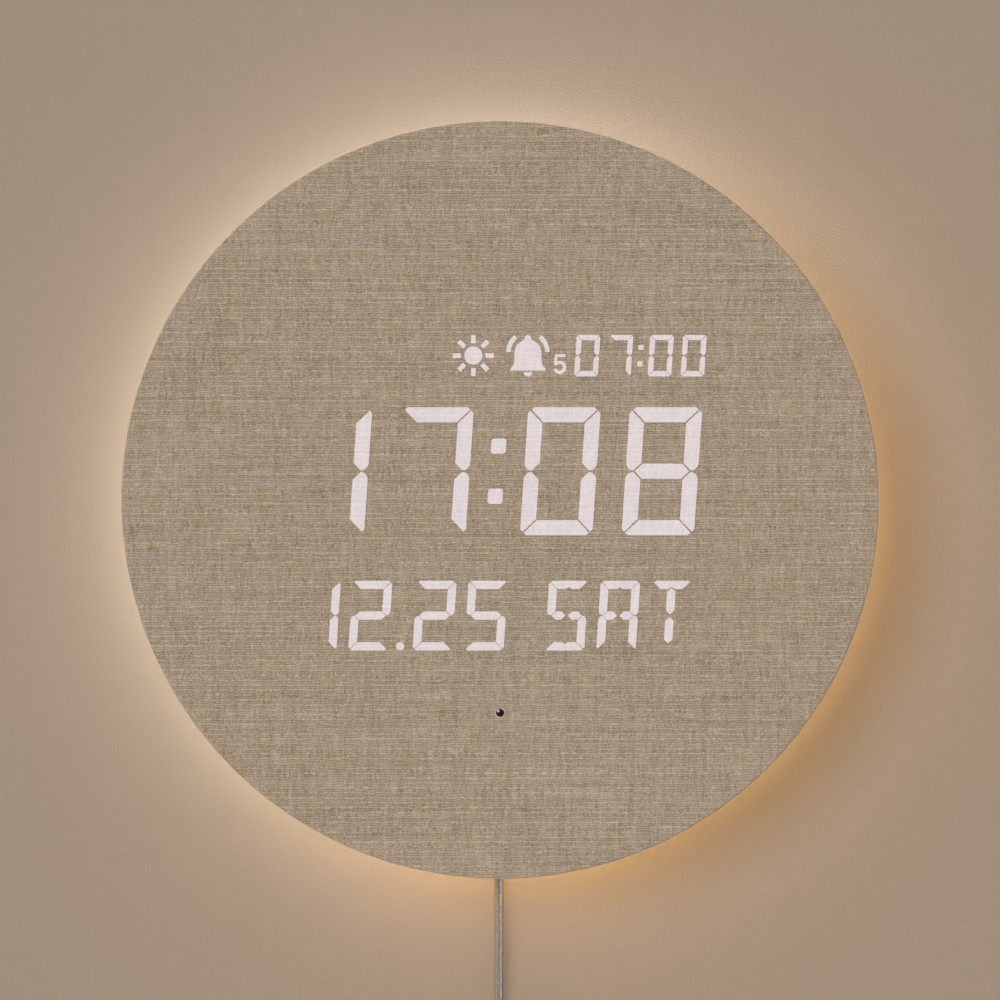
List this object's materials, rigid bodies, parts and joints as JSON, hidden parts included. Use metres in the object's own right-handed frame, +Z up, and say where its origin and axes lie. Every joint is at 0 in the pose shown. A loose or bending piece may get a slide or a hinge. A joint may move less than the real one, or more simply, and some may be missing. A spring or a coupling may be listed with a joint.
{
  "type": "digital wall clock",
  "caption": "Round linen-covered digital wall clock: light figures shine through the cloth, a halo light glows on the wall behind, a keyhole hangs it and a clear lead powers it.",
  "frame": {"origin": "middle of the keyhole's entry hole, on the back face of the hanger plate", "axes": "+Z up, +Y into the wall, the face looks to -Y, +X to the right as the face is seen"},
  "size_m": [0.3, 0.0387, 0.4868],
  "materials": {
    "linen": "woven, matte",
    "fibreboard": "raw",
    "ring_plastic": "satin",
    "screw_steel": "plated",
    "reflector": "matte",
    "lit_lens": "lit from behind",
    "dark_lens": "matte",
    "light_chip": "matte",
    "circuit_board": "satin",
    "sensor_lens": "gloss",
    "chip": "matte",
    "wire": "satin",
    "housing": "fine texture",
    "steel_plate": "zinc plated",
    "pad_rubber": "matte",
    "frosted": "frosted, lit",
    "strip_flex": "satin",
    "metal_can": "plated",
    "capacitor": "gloss",
    "socket": "matte",
    "button": "satin",
    "plunger": "satin",
    "contact": "plated",
    "cord_jacket": "clear over two wires",
    "moulding": "satin",
    "tie": "matte",
    "plug_metal": "plated"
  },
  "bodies": {
    "clock": {"linen_cover": "linen", "front_board": "fibreboard", "fabric_ring": "ring_plastic", "ring_screws": "screw_steel", "board_screws": "screw_steel", "hanger_screws": "screw_steel", "case_screws": "screw_steel", "alarm_reflector": "reflector", "time_reflector": "reflector", "date_reflector": "reflector", "alarm_segments": "lit_lens", "time_segments": "lit_lens", "date_segments": "lit_lens", "status_icons": "lit_lens", "dark_segments": "dark_lens", "segment_leds": "light_chip", "strip_leds": "light_chip", "display_board": "circuit_board", "sensor_board": "circuit_board", "main_board": "circuit_board", "sensor_lens": "sensor_lens", "sensor_chip": "chip", "controller_chip": "chip", "driver_chips": "chip", "buzzer": "chip", "switch_bodies": "chip", "sensor_lead": "wire", "strip_lead": "wire", "power_lead": "wire", "ribbon_cable": "wire", "battery_leads": "wire", "rear_housing": "housing", "hanger_plate": "steel_plate", "wall_pads": "pad_rubber", "light_ring": "frosted", "led_strip": "strip_flex", "crystal": "metal_can", "coin_cell": "metal_can", "capacitors": "capacitor", "board_sockets": "socket", "battery_contacts": "contact", "plug_contacts": "contact", "cord_drop": "cord_jacket", "cord_coil": "cord_jacket", "cord_boot": "moulding", "plug_body": "moulding", "plug_tongue": "moulding", "cord_tie": "tie", "plug_shell": "plug_metal"},
    "set_key": {"set_button": "button", "set_plunger": "plunger"},
    "up_key": {"up_button": "button", "up_plunger": "plunger"},
    "down_key": {"down_button": "button", "down_plunger": "plunger"},
    "alarm_key": {"alarm_button": "button", "alarm_plunger": "plunger"},
    "light_key": {"light_button": "button", "light_plunger": "plunger"},
    "battery_lid": {"battery_door": "housing"}
  },
  "joints": [
    {"name": "set_press", "type": "slide", "parent": "clock", "child": "set_key", "axis": [0, -1, 0], "range_m": [0, 0.0005], "stiffness_N_per_m": 600},
    {"name": "up_press", "type": "slide", "parent": "clock", "child": "up_key", "axis": [0, -1, 0], "range_m": [0, 0.0005], "stiffness_N_per_m": 600},
    {"name": "down_press", "type": "slide", "parent": "clock", "child": "down_key", "axis": [0, -1, 0], "range_m": [0, 0.0005], "stiffness_N_per_m": 600},
    {"name": "alarm_press", "type": "slide", "parent": "clock", "child": "alarm_key", "axis": [0, -1, 0], "range_m": [0, 0.0005], "stiffness_N_per_m": 600},
    {"name": "light_press", "type": "slide", "parent": "clock", "child": "light_key", "axis": [0, -1, 0], "range_m": [0, 0.0005], "stiffness_N_per_m": 600},
    {"name": "battery_door_turn", "type": "hinge", "parent": "clock", "child": "battery_lid", "pos_m": [0, 0, -0.066], "axis": [0, -1, 0], "range_deg": [0, 45]}
  ]
}
